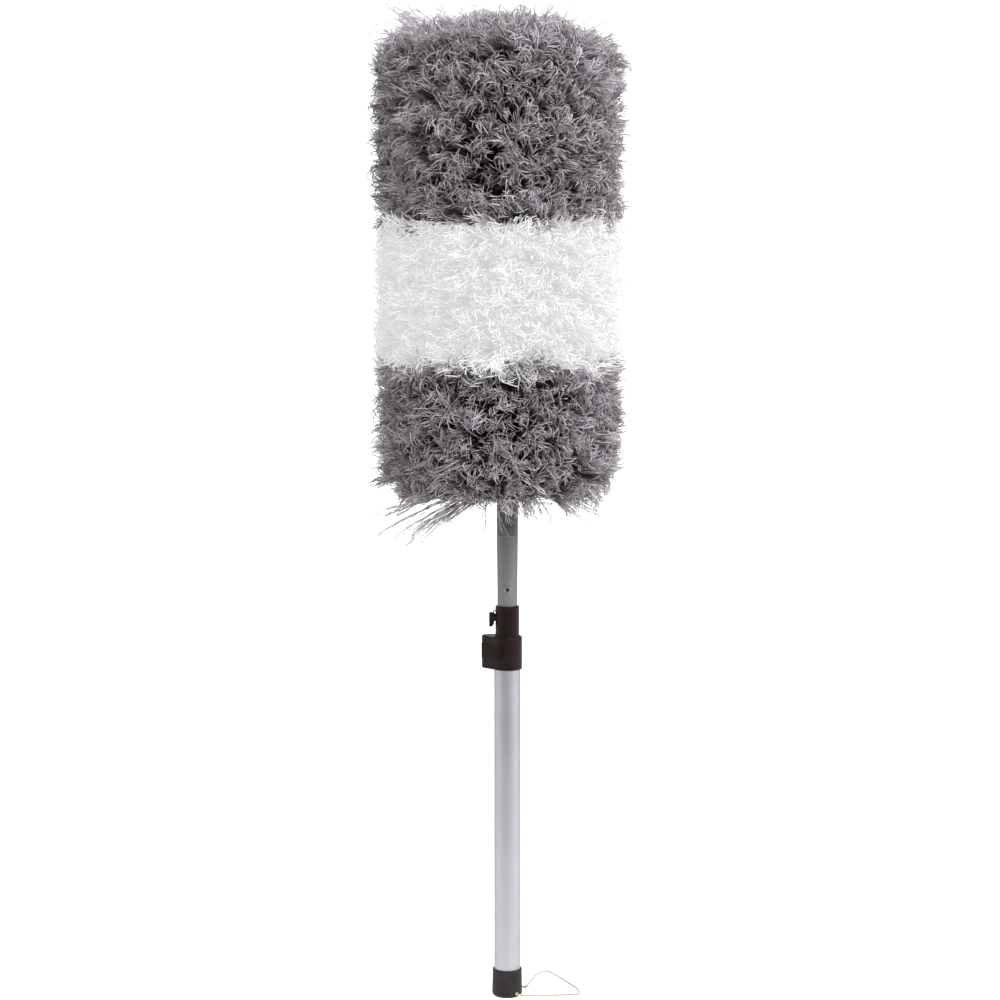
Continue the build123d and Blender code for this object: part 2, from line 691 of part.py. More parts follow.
CROSS_LENGTH = 4.4
CROSS_WIDTH = 1.0
CROSS_DEPTH = 1.4
with BuildPart() as end_screw:
    with BuildSketch(Plane.XY.offset(washer_top + FACE_GAP)):
        Circle(SCREW_HEAD_R)
    extrude(amount=SCREW_HEAD_HEIGHT)
    fillet(end_screw.edges().sort_by(Axis.Z)[-1], SCREW_HEAD_ROUND)
    with BuildSketch(Plane.XY.offset(washer_top + FACE_GAP)):
        Circle(SCREW_R)
    extrude(amount=-SCREW_LENGTH)
    with BuildSketch(Plane.XY.offset(washer_top + FACE_GAP + SCREW_HEAD_HEIGHT)):
        Rectangle(CROSS_LENGTH, CROSS_WIDTH)
        Rectangle(CROSS_WIDTH, CROSS_LENGTH)
    extrude(amount=-CROSS_DEPTH, mode=Mode.SUBTRACT)
end_screw.part.label = "end_screw"
export_step(end_screw.part, "parts/end_screw.step")

bands = {
    "lower": (FRINGE_BASE, LOWER_SEAM - SEAM_GAP / 2),
    "middle": (LOWER_SEAM + SEAM_GAP / 2, UPPER_SEAM - SEAM_GAP / 2),
    "upper": (UPPER_SEAM + SEAM_GAP / 2, CORE_TOP - SEAM_GAP),
}
for band, (low, high) in bands.items():
    with BuildPart() as backing:
        with BuildSketch(Plane.XY.offset(low)):
            Circle(BACKING_R)
            Circle(CORE_R + FACE_GAP, mode=Mode.SUBTRACT)
        extrude(amount=high - low)
    backing.part.label = f"backing_{band}"
    export_step(backing.part, f"parts/backing_{band}.step")

FRINGE_BASE_ROUND = 20.0
POCKET_TOP = 884.0
POCKET_CLEARANCE = 3.0
fringe_plane = Plane.XY.offset(FRINGE_BASE)
side_x = FRINGE_SHIFT + FRINGE_R

with BuildPart() as fringe_lower:
    with BuildSketch(fringe_plane):
        with Locations((FRINGE_SHIFT, 0)):
            Circle(FRINGE_R)
    extrude(amount=bands["lower"][1] - FRINGE_BASE)
    fillet(fringe_lower.edges().sort_by(Axis.Z)[0], FRINGE_BASE_ROUND)
    with BuildSketch(fringe_plane):
        Circle(FRINGE_BORE_R)
    extrude(amount=bands["lower"][1] - FRINGE_BASE, mode=Mode.SUBTRACT)
fringe_lower.part.label = "fringe_lower"
export_step(fringe_lower.part, "parts/fringe_lower.step")

with BuildPart() as fringe_middle:
    with BuildSketch(Plane.XY.offset(bands["middle"][0])):
        with Locations((FRINGE_SHIFT, 0)):
            Circle(FRINGE_R)
        Circle(FRINGE_BORE_R, mode=Mode.SUBTRACT)
    extrude(amount=bands["middle"][1] - bands["middle"][0])
fringe_middle.part.label = "fringe_middle"
export_step(fringe_middle.part, "parts/fringe_middle.step")

with BuildPart() as fringe_upper:
    with BuildSketch(Plane.XZ):
        with BuildLine():
            base = bands["upper"][0]
            foot = Line((FRINGE_SHIFT, base), (side_x, base))
            side = Line(foot @ 1, (side_x, SHOULDER))
            crown = Spline(side @ 1, (FRINGE_SHIFT, CROWN), tangents=((0, 1), (-1, 0)))
            Line(crown @ 1, foot @ 0)
        make_face()
    revolve(axis=Axis((FRINGE_SHIFT, 0, 0), (0, 0, 1)))
    with BuildSketch(Plane.XY.offset(bands["upper"][0])):
        Circle(FRINGE_BORE_R)
    extrude(amount=POCKET_TOP - bands["upper"][0], mode=Mode.SUBTRACT)
    with BuildSketch(Plane.XY.offset(CORE_TOP - SEAM_GAP)):
        Circle(CAP_PLATE_R + POCKET_CLEARANCE)
    extrude(amount=POCKET_TOP - CORE_TOP + SEAM_GAP, mode=Mode.SUBTRACT)
fringe_upper.part.label = "fringe_upper"
export_step(fringe_upper.part, "parts/fringe_upper.step")
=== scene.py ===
import json
import math

import bpy
import numpy as np
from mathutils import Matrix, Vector


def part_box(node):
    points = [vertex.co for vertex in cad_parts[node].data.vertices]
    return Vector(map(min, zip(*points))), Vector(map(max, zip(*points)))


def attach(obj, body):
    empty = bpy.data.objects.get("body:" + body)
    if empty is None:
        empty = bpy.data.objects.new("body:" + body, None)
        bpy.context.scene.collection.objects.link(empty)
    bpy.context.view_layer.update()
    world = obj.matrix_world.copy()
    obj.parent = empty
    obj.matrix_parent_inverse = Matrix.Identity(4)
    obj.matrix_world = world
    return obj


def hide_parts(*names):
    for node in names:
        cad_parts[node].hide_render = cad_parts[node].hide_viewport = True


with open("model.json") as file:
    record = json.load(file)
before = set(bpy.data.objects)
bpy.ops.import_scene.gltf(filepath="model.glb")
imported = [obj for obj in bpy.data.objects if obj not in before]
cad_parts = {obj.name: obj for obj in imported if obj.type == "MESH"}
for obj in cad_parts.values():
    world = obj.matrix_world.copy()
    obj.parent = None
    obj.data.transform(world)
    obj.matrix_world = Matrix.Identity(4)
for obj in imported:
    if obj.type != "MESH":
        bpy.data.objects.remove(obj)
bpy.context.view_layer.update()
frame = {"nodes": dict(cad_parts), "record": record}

NODES = frame["nodes"]
SLOT = {part["node"]: part["material_slot"] for part in frame["record"]["subparts"]}
MM = 0.001
# The export keeps a UV layer of this name, so strands of one tint share their texels
UV_LAYER = "OFBake"
TINTS = 32
WHITE = (1.0, 1.0, 1.0)
BLACK = (0.0, 0.0, 0.0)
rng = np.random.default_rng(4711)


# Node helpers. Scales of noise are in cycles per metre.


class Nodes:
    """A material's node tree, with short calls for the nodes used here."""

    def __init__(self, name):
        self.mat = bpy.data.materials.new(name)
        self.mat.use_nodes = True
        self.tree = self.mat.node_tree
        self.tree.nodes.clear()
        out = self.tree.nodes.new("ShaderNodeOutputMaterial")
        self.bsdf = self.tree.nodes.new("ShaderNodeBsdfPrincipled")
        self.tree.links.new(self.bsdf.outputs[0], out.inputs[0])

    def put(self, socket, value):
        if isinstance(value, bpy.types.NodeSocket):
            self.tree.links.new(value, socket)
        else:
            socket.default_value = value

    def node(self, kind, **settings):
        made = self.tree.nodes.new(kind)
        for key, value in settings.items():
            setattr(made, key, value)
        return made

    def math(self, operation, a, b=0.0, clamp=False):
        made = self.node("ShaderNodeMath", operation=operation, use_clamp=clamp)
        self.put(made.inputs[0], a)
        self.put(made.inputs[1], b)
        return made.outputs[0]

    def blend(self, a, a_share, b, b_share):
        """Sum of two values, each times its share."""
        a_part = self.math("MULTIPLY", a, a_share)
        return self.math("ADD", a_part, self.math("MULTIPLY", b, b_share))

    def place(self, scale=(1, 1, 1), source="Object"):
        """Object coordinates in metres, or the strand layer's UV, scaled."""
        if source == "Object":
            coords = self.node("ShaderNodeTexCoord").outputs["Object"]
        else:
            coords = self.node("ShaderNodeUVMap", uv_map=UV_LAYER).outputs[0]
        made = self.node("ShaderNodeMapping")
        self.put(made.inputs["Vector"], coords)
        self.put(made.inputs["Scale"], scale)
        return made.outputs[0]

    def noise(self, where, scale, detail=2.0, rough=0.5):
        made = self.node("ShaderNodeTexNoise")
        self.put(made.inputs["Vector"], where)
        self.put(made.inputs["Scale"], scale)
        self.put(made.inputs["Detail"], detail)
        self.put(made.inputs["Roughness"], rough)
        return made.outputs["Fac"]

    def span(self, value, low, high, to_low, to_high):
        made = self.node("ShaderNodeMapRange")
        for socket, number in zip(made.inputs, (value, low, high, to_low, to_high)):
            self.put(socket, number)
        return made.outputs[0]

    def ramp(self, value, stops):
        made = self.node("ShaderNodeValToRGB")
        steps = made.color_ramp.elements
        while len(steps) < len(stops):
            steps.new(0.5)
        for step, (place, colour) in zip(steps, stops):
            step.position = place
            step.color = (*colour, 1)
        self.put(made.inputs[0], value)
        return made.outputs[0]

    def mix(self, factor, a, b, blend="MIX"):
        made = self.node("ShaderNodeMix", data_type="RGBA", blend_type=blend)
        colours = [s for s in made.inputs if s.type == "RGBA"]
        self.put(made.inputs[0], factor)
        for socket, colour in zip(colours, (a, b)):
            if isinstance(colour, (tuple, list)):
                colour = (*colour, 1)
            self.put(socket, colour)
        return [s for s in made.outputs if s.type == "RGBA"][0]

    def edges(self, radius):
        """0 on flat faces, up to 1 where a face turns a corner within radius."""
        round_normal = self.node("ShaderNodeBevel", samples=4)
        self.put(round_normal.inputs["Radius"], radius)
        flat_normal = self.node("ShaderNodeNewGeometry").outputs["Normal"]
        dot = self.node("ShaderNodeVectorMath", operation="DOT_PRODUCT")
        self.put(dot.inputs[0], round_normal.outputs[0])
        self.put(dot.inputs[1], flat_normal)
        return self.span(dot.outputs["Value"], 0.995, 0.80, 0.0, 1.0)

    def bump(self, height, strength, distance):
        made = self.node("ShaderNodeBump")
        self.put(made.inputs["Height"], height)
        self.put(made.inputs["Strength"], strength)
        self.put(made.inputs["Distance"], distance)
        self.put(self.bsdf.inputs["Normal"], made.outputs[0])

    def glow(self, strength):
        self.put(self.bsdf.inputs["Emission Color"], (*WHITE, 1))
        self.put(self.bsdf.inputs["Emission Strength"], strength)

    def finish(self, colour, rough, metallic=0.0, specular=0.5):
        self.put(self.bsdf.inputs["Base Color"], colour)
        self.put(self.bsdf.inputs["Roughness"], rough)
        self.put(self.bsdf.inputs["Metallic"], metallic)
        self.put(self.bsdf.inputs["Specular IOR Level"], specular)
        return self.mat


def tinted(colour, factor):
    return tuple(min(channel * factor, 1.0) for channel in colour)


def shades(colour, dark, light, places):
    """Ramp stops from a darker to a lighter tint, with the colour itself between."""
    return list(zip(places, (tinted(colour, dark), colour, tinted(colour, light))))


# Metal showing through at worn edges
BARE_ALUMINIUM = (0.82, 0.82, 0.83)
BARE_STEEL = (0.86, 0.86, 0.87)


def drawn_tube(name, colour, rough, ring_marks, metal=1.0):
    """Satin anodised tube: fine lines along the pole, faint patches, sliding marks.

    The tube is painted darker where its surface turns away from the view, a painted
    shade at its sides.
    """
    n = Nodes(name)
    lines = n.noise(n.place((2600, 2600, 9)), 1.0, 3.0)
    patches = n.noise(n.place((55, 55, 16)), 1.0, 3.0)
    rings = n.noise(n.place((30, 30, 1900)), 1.0, 2.0)
    marks = n.span(rings, 0.66, 0.78, 0.0, ring_marks)
    shade = n.blend(lines, 0.45, patches, 0.55)
    base = n.ramp(shade, shades(colour, 0.86, 1.12, (0.30, 0.55, 0.75)))
    base = n.mix(marks, base, tinted(colour, 1.35))
    base = n.mix(n.math("MULTIPLY", n.edges(0.0006), 0.5), base, BARE_ALUMINIUM)
    # Painted shade: the colour darkens where the surface turns away from the view
    side = n.node("ShaderNodeLayerWeight")
    n.put(side.inputs["Blend"], 0.5)
    painted_side_shade = n.span(side.outputs["Facing"], 0.35, 0.95, 0.0, 0.42)
    base = n.mix(painted_side_shade, base, BLACK)
    grain = n.blend(lines, 0.10, patches, 0.12)
    n.bump(n.math("ADD", lines, n.math("MULTIPLY", marks, 0.6)), 0.10, 0.00006)
    return n.finish(base, n.math("ADD", grain, rough), metal)


def moulded(name, colour, rough, grain_size, grain, gloss=0.3, edge_wear_and_highlight=0.35):
    """Moulded plastic: spark-eroded grain, cloudy patches, and paler edges that are
    partly rubbed wear and partly a painted highlight along the rims.
    """
    n = Nodes(name)
    cloud = n.noise(n.place(), 90.0, 4.0, 0.6)
    fine = n.noise(n.place(), 1.0 / grain_size, 2.0)
    base = n.ramp(cloud, shades(colour, 0.72, 1.45, (0.30, 0.52, 0.72)))
    # Paler edges: partly rubbed wear, partly a painted highlight along the rims
    rubbed_and_highlit = n.edges(0.0007)
    rubbed_and_highlit = n.math("MULTIPLY", rubbed_and_highlit, n.span(cloud, 0.35, 0.65, 0.3 * edge_wear_and_highlight, edge_wear_and_highlight))
    base = n.mix(rubbed_and_highlit, base, tinted([c + 0.05 for c in colour], 1.6))
    scratches = n.noise(n.place((260, 900, 420)), 1.0, 5.0, 0.7)
    scuffs = n.span(scratches, 0.56, 0.74, 0.0, 1.0)
    polish = n.blend(cloud, 0.18, scuffs, -0.08)
    n.bump(n.math("ADD", fine, n.math("MULTIPLY", scuffs, 0.3)), grain, 0.00012)
    return n.finish(base, n.math("ADD", polish, rough), 0.0, gloss)


def turned_metal(name, colour, rough):
    """Small bright metal parts: fine scratches, dull patches and bright edges."""
    n = Nodes(name)
    scratches = n.noise(n.place((700, 700, 5200)), 1.0, 4.0, 0.7)
    dull = n.noise(n.place(), 420.0, 3.0)
    base = n.ramp(dull, shades(colour, 0.62, 1.2, (0.32, 0.55, 0.72)))
    base = n.mix(n.math("MULTIPLY", n.edges(0.0003), 0.6), base, BARE_STEEL)
    n.bump(scratches, 0.16, 0.00005)
    worn = n.math("ADD", scratches, dull)
    return n.finish(base, n.span(worn, 0.7, 1.3, rough, rough + 0.22), 1.0)


def knit(name, colour, glow=0.0):
    """Knitted ground that the plumes are sewn into.

    glow stands for the light that pale fibres pass on to each other.
    """
    n = Nodes(name)
    around = n.node("ShaderNodeTexWave", wave_type="BANDS", bands_direction="Z")
    n.put(around.inputs["Vector"], n.place())
    n.put(around.inputs["Scale"], 210.0)
    n.put(around.inputs["Distortion"], 2.2)
    n.put(around.inputs["Detail Scale"], 5.0)
    ribs = around.outputs["Fac"]
    fluff = n.noise(n.place(), 1500.0, 4.0, 0.7)
    base = n.ramp(fluff, shades(colour, 0.6, 2.0, (0.3, 0.6, 0.8)))
    base = n.mix(n.math("MULTIPLY", ribs, 0.4), base, tinted(colour, 0.5))
    n.bump(n.math("ADD", ribs, fluff), 0.6, 0.0006)
    n.glow(glow)
    return n.finish(base, n.span(fluff, 0.3, 0.7, 0.75, 0.95), 0.0, 0.2)


# Tints of single plumes lie between these two casts
WARM_CAST = (1.0, 0.975, 0.96)
COOL_CAST = (0.965, 0.972, 1.0)


def plume(name, stops, root_painted_shade, tip_shade, rough, sheen, fleck, glow=0.0):
    """Split plume fibres: the layer's U picks a tint and its V runs root to tip.

    stops are the ramp over the tints. The colour is multiplied at the root by a painted
    shade, for the dark inside of the head; tip_shade is mixed in at the tip, and fleck
    darkens the streaks along a fibre.
    glow stands for the light that pale fibres pass on to each other.
    """
    n = Nodes(name)
    split = n.node("ShaderNodeSeparateXYZ")
    n.put(split.inputs[0], n.place(source="UV"))
    across, along = split.outputs[0], split.outputs[1]
    column = n.math("FLOOR", n.math("MULTIPLY", across, TINTS))
    tint = n.math("DIVIDE", column, TINTS - 1.0)
    chance = n.node("ShaderNodeTexWhiteNoise", noise_dimensions="1D")
    n.put(chance.inputs["W"], tint)
    streaks = n.noise(n.place((TINTS * 9.0, 5.0, 1), "UV"), 1.0, 3.0)
    blotches = n.noise(n.place((TINTS * 1.7, 14.0, 1), "UV"), 1.0, 2.0)
    base = n.ramp(tint, stops)
    # Painted shade: the colour darkens from the tip towards the root, for the shade
    # inside the head
    halfway = tuple(0.5 * (channel + 1.0) for channel in root_painted_shade)
    shade = n.ramp(along, [(0.0, root_painted_shade), (0.55, halfway), (0.84, WHITE)])
    base = n.mix(1.0, base, shade, "MULTIPLY")
    base = n.mix(n.span(along, 0.80, 1.0, 0.0, 0.5), base, tip_shade)
    mottle = n.blend(streaks, 0.6, blotches, 0.4)
    uneven = n.ramp(mottle, [(0.34, (fleck,) * 3), (0.66, WHITE)])
    base = n.mix(1.0, base, uneven, "MULTIPLY")
    cast = n.mix(chance.outputs["Value"], WARM_CAST, COOL_CAST)
    base = n.mix(1.0, base, cast, "MULTIPLY")
    n.bump(streaks, 0.5, 0.0002)
    n.put(n.bsdf.inputs["Sheen Weight"], sheen)
    n.put(n.bsdf.inputs["Sheen Roughness"], 0.4)
    n.glow(glow)
    uneven_rough = n.math("ADD", n.math("MULTIPLY", streaks, 0.2), rough)
    return n.finish(base, uneven_rough, 0.0, 0.35)


# Hanging cord
PLIES = 3
CREAM = (0.50, 0.455, 0.33)
TAN = (0.27, 0.20, 0.10)
PALE_FIBRE = (0.62, 0.59, 0.50)
STAIN = (0.30, 0.24, 0.14)


def twine(name):
    """Two cream plies and one tan: U picks the ply, V runs along the cord."""
    n = Nodes(name)
    split = n.node("ShaderNodeSeparateXYZ")
    n.put(split.inputs[0], n.place(source="UV"))
    fibres = n.noise(n.place((90, 150, 1), "UV"), 1.0, 4.0, 0.65)
    stains = n.noise(n.place((3, 9, 1), "UV"), 1.0, 2.0)
    tan_ply = n.math("LESS_THAN", split.outputs[0], 1.0 / PLIES)
    base = n.mix(tan_ply, CREAM, TAN)
    base = n.mix(n.span(fibres, 0.35, 0.7, 0.0, 0.55), base, PALE_FIBRE)
    base = n.mix(n.span(stains, 0.55, 0.75, 0.0, 0.3), base, STAIN)
    n.bump(fibres, 0.7, 0.0002)
    n.put(n.bsdf.inputs["Sheen Weight"], 0.2)
    return n.finish(base, n.span(fibres, 0.3, 0.7, 0.6, 0.85), 0.0, 0.3)


# Finishes of the CAD nodes

tube_finish = drawn_tube("tube_satin", (0.45, 0.45, 0.475), 0.36, 0.25)
# The inner tube is the same aluminium as the outer; its darker colour is painted shade
# from the head above it
inner_finish = drawn_tube("tube_inner", (0.215, 0.206, 0.212), 0.50, 0.3, metal=0.5)
core_finish = drawn_tube("tube_core", (0.45, 0.45, 0.46), 0.36, 0.1)

# Plastics: colour, roughness, grain size in metres, depth of the grain, gloss
CAP = ((0.017, 0.0145, 0.0138), 0.46, 0.00045, 0.20, 0.20)
LOCK = ((0.0135, 0.0076, 0.0067), 0.33, 0.00040, 0.10, 0.12)
LEVER = ((0.0115, 0.0062, 0.0054), 0.30, 0.00036, 0.08, 0.08)
SOCKET = ((0.120, 0.112, 0.116), 0.42, 0.00050, 0.20)
BUSH = ((0.70, 0.69, 0.65), 0.40, 0.00060, 0.15)
HUB = ((0.045, 0.044, 0.044), 0.42, 0.00060, 0.25)
cap_finish = moulded("cap_rubber", *CAP)
lock_finish = moulded("lock_plastic", *LOCK)
lever_finish = moulded("lever_plastic", *LEVER)
socket_finish = moulded("socket_plastic", *SOCKET)
bush_finish = moulded("bush_plastic", *BUSH)
hub_finish = moulded("hub_plastic", *HUB)
steel_finish = turned_metal("steel", (0.58, 0.58, 0.58), 0.26)
rivet_finish = turned_metal("rivet", (0.40, 0.40, 0.41), 0.38)
backing_finish = knit("backing_knit", (0.060, 0.050, 0.048))
white_backing_finish = knit("backing_knit_white", (0.84, 0.84, 0.84), glow=0.45)

SLOT_FINISH = {
    "tube_aluminium": tube_finish,
    "cap_plastic": cap_finish,
    "lock_plastic": lock_finish,
    "socket_plastic": socket_finish,
    "bush_plastic": bush_finish,
    "hub_plastic": hub_finish,
    "steel": steel_finish,
    "rivet_metal": rivet_finish,
    "backing_fabric": backing_finish,
}
NODE_FINISH = {
    "backing_middle": white_backing_finish,
    "inner_tube": inner_finish,
    "core_tube": core_finish,
    "lock_lever": lever_finish,
}


def set_finish(thing, finish):
    thing.data.materials.clear()
    thing.data.materials.append(finish)


for node_name, thing in NODES.items():
    finish = NODE_FINISH.get(node_name) or SLOT_FINISH.get(SLOT[node_name])
    if finish:
        set_finish(thing, finish)


# Plume head, in millimetres, worked out from the CAD boxes


def box_mm(node):
    low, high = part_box(node)
    return np.array(low) / MM, np.array(high) / MM


band_low, band_high = {}, {}
for band in ("lower", "middle", "upper"):
    low, high = box_mm(f"fringe_{band}")
    band_low[band], band_high[band] = low[2], high[2]
head_x = (low[0] + high[0]) / 2
head_r = (high[0] - low[0]) / 2
backing_r = box_mm("backing_lower")[1][0]
core_top = box_mm("core_tube")[1][2]
plate_top = box_mm("top_plate")[1][2]
# Height where the side's plumes end and the crown's begin
shoulder = band_high["upper"] - 34.0
# Points that stand out further than this are drawn in, to within the span
HOLD_R = head_r + 5.0
HOLD_SPAN = 9.0
# How far apart plumes sit, on the side and on the crown
STEP_AROUND = 9.6
STEP_UP = 9.0
CROWN_STEP_OUT = 8.4
CROWN_STEP_AROUND = 8.6
# How far the side's tips are off those places, as a share of the step
JITTER_AROUND = 0.38
JITTER_UP = 0.40
# How far tips stand out from the CAD solid's side, and how much that varies
TIP_REACH = 3.0
TIP_SPREAD = 2.6
CROWN_SPREAD = 2.4
# The share of plumes that is longer than the rest, and by how much
LONG_SHARE = 0.07
LONG_BY = (2, 9)
# Lumps of the surface and patches of shade, for knobbly(): cells, reach and seed
LUMPS = (7, 1.6, 11)
PATCHES = (9, 0.07, 12)
CROWN_LUMPS = (5, 1.8, 13)
# Mean shade of plumes and its spread, and how much darker plumes at a parting are
# painted, a painted shade for the dark inside there
SIDE_SHADE = (0.52, 0.19)
CROWN_SHADE = (0.66, 0.15)
# Strays take pale tints, painted light for the light shining through the loose plumes
STRAY_SHADE = (0.93, 0.05)
PARTING_PAINTED_SHADE = 0.25
# How far the crown drops from its peak to the head's edge
CROWN_DROP = 33.0
# The head's foot draws in over this height, by this much sag and share of its reach
TAPER_HEIGHT = 42.0
TAPER_SAG = 2.0
TAPER_PULL = 0.22
# The white band's lowest plumes hang over the band below, from this height, this far
DROOP_HEIGHT = 13.0
DROOP_FALL = 15.0
# Fibres that each plume splits into
PER_TUFT = 11
PER_CROWN_TUFT = 9
PER_STRAY = 4


# Meshes of strands

# The part of the UV layer's height that strands take up, clear of its border
UV_FROM, UV_SPAN = 0.02, 0.96


def unit(vectors):
    return vectors / np.linalg.norm(vectors, axis=-1, keepdims=True)


def spines_to_mesh(name, spines, radii, tints, along):
    """One closed three-sided strand per spine, pointed at its last point.

    spines is (strands, points, 3), radii and along are (strands, points),
    tints is (strands,) from 0 to 1. The UV holds tint and distance along.
    """
    count, points, _ = spines.shape
    rings = points - 1
    way = unit(np.gradient(spines, axis=1))
    chord = unit(spines[:, -1] - spines[:, 0])
    aside = unit(np.cross(chord, unit(rng.normal(size=(count, 3)))))[:, None]
    first = unit(aside - way * np.sum(aside * way, axis=2, keepdims=True))
    second = np.cross(way, first)
    corners = []
    for turn in (0, 2 * math.pi / 3, 4 * math.pi / 3):
        spoke = math.cos(turn) * first + math.sin(turn) * second
        corners.append(spines + radii[..., None] * spoke)
    ring_points = np.stack(corners, axis=2)[:, :rings].reshape(count, rings * 3, 3)
    verts = np.concatenate([ring_points, spines[:, -1:, :]], axis=1)
    per_strand = rings * 3 + 1

    faces = [(2, 1, 0)]
    for ring in range(rings - 1):
        for side in range(3):
            a, b = ring * 3 + side, ring * 3 + (side + 1) % 3
            faces += [(a, b, b + 3), (a, b + 3, a + 3)]
    last = (rings - 1) * 3
    faces += [(last + side, last + (side + 1) % 3, per_strand - 1) for side in range(3)]
    shift = (np.arange(count) * per_strand)[:, None, None]
    all_faces = (np.array(faces)[None] + shift).reshape(-1, 3)

    column = np.clip((tints * TINTS).astype(int), 0, TINTS - 1)
    across = np.append(np.tile([0.15, 0.85, 0.5], rings), 0.5)
    u = (column[:, None] + across[None]) / TINTS
    v = np.concatenate([np.repeat(along[:, :rings], 3, axis=1), along[:, -1:]], axis=1)
    v = UV_FROM + UV_SPAN * v
    uv = np.stack([u, v], axis=2).reshape(-1, 2)

    return raw_mesh(name, verts.reshape(-1, 3) * MM, all_faces, uv)


def raw_mesh(name, verts, faces, uv):
    """Smooth triangle mesh from arrays, with one UV per vertex."""
    mesh = bpy.data.meshes.new(name)
    mesh.vertices.add(len(verts))
    mesh.vertices.foreach_set("co", verts.astype(np.float32).ravel())
    mesh.loops.add(faces.size)
    mesh.loops.foreach_set("vertex_index", faces.astype(np.int32).ravel())
    mesh.polygons.add(len(faces))
    starts = np.arange(0, faces.size, 3, dtype=np.int32)
    mesh.polygons.foreach_set("loop_start", starts)
    layer = mesh.uv_layers.new(name=UV_LAYER)
    layer.data.foreach_set("uv", uv[faces.ravel()].astype(np.float32).ravel())
    mesh.polygons.foreach_set("use_smooth", np.ones(len(faces), dtype=bool))
    mesh.update(calc_edges=True)
    thing = bpy.data.objects.new(name, mesh)
    bpy.context.scene.collection.objects.link(thing)
    return thing


def across_pair(way):
    """Two directions square to each way."""
    steep = np.abs(way[:, 2:3]) > 0.9
    side = unit(np.cross(way, np.where(steep, [[1.0, 0, 0]], [[0, 0, 1.0]])))
    return side, np.cross(side, way)


# Where along a plume its fibres and its stem have points
STRAND_AT = np.array([0.42, 0.68, 0.84, 0.88, 0.92, 0.96, 1.0])
STEM_AT = np.array([0.0, 0.25, 0.45, 0.54])
# Where the fibres start to curl, and the share of them that strays, and by how much
CURL_FROM = 0.84
STRAY_SHARE = 0.16
STRAY_SPREAD = 2.4
# Sideways waves along a fibre, in mm: its own and its plume's, and how many there are
OWN_WAVE = 1.3
SHARED_WAVE = 1.2
WAVES = (1.0, 2.3)
# How much a fibre bends by itself, as a share of its plume's bend
OWN_BEND = 0.30
# How the curl varies from fibre to fibre: its strength, and its direction in radians
CURL_RANGE = (0.6, 1.4)
CURL_SPREAD = 0.6
LEAST_CURL = 0.05
# How fibres vary in length, thickness and tint
LENGTH_SPREAD = 0.030
SHORTFALL = 0.025
THICKNESS_RANGE = (0.75, 1.25)
TINT_SPREAD = 0.13
# A stem's radius in mm at each of its points, and its UV heights
STEM_RADII = np.array([0.75, 0.85, 0.70, 0.0])
STEM_ALONG = np.array([0.0, 0.08, 0.14, 0.18])


def tuft_curves(roots, tips, bends, arch, places):
    """Points on each tuft's own curve at the given parts of its length."""
    way = tips - roots
    side, over = across_pair(unit(way))
    part = places[None, :, None]
    curve = roots[:, None] + way[:, None] * part
    lean = bends[:, None, 0:1] * side[:, None] + bends[:, None, 1:2] * over[:, None]
    rise = arch * 4 * part * (1 - part) * np.array([0.0, 0.0, 1.0])
    return curve + lean * part**3 + rise


def hold_in(points):
    """Draws points that stand far out back in, to within HOLD_R + HOLD_SPAN."""
    out = points[..., :2] - np.array([head_x, 0.0])
    distance = np.linalg.norm(out, axis=-1, keepdims=True)
    past = np.clip(distance - HOLD_R, 0, None)
    held = np.minimum(distance, HOLD_R) + HOLD_SPAN * np.tanh(past / HOLD_SPAN)
    flat = out * held / np.maximum(distance, 1.0) + np.array([head_x, 0.0])
    return np.concatenate([flat, points[..., 2:]], axis=-1)


